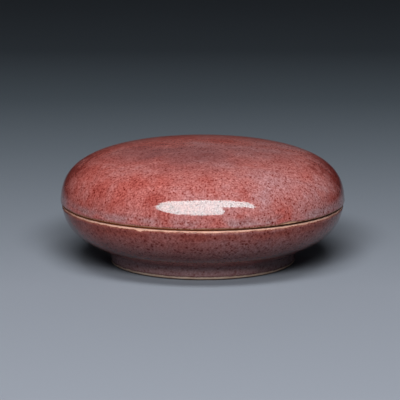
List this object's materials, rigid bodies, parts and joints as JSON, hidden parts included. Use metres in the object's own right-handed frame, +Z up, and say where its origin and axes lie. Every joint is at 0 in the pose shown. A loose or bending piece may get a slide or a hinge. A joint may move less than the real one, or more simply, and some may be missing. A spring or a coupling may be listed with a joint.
{
  "type": "seal paste box",
  "caption": "Round porcelain box for seal paste: a domed, lift-off cover with a mottled pink-red glaze on a low box with a foot ring, holding a cake of red paste.",
  "frame": {"origin": "centre of the foot ring's resting face", "axes": "+Z up along the turning axis of the box and its cover; -Y is the side that the picture shows"},
  "size_m": [0.072, 0.072, 0.0304],
  "materials": {
    "box_glaze": "glossy mottled pink-red glaze outside, white glaze inside, bare edges",
    "cover_glaze": "glossy mottled pink-red glaze outside, white glaze inside, bare edge",
    "seal_paste": "oily vermilion paste with a soft satin sheen"
  },
  "bodies": {
    "box": {"box": "box_glaze", "seal_paste": "seal_paste"},
    "cover": {"cover": "cover_glaze"}
  },
  "joints": [
    {"name": "cover_lift", "type": "slide", "parent": "box", "child": "cover", "axis": [0, 0, 1], "range_m": [0, 0.06]}
  ]
}
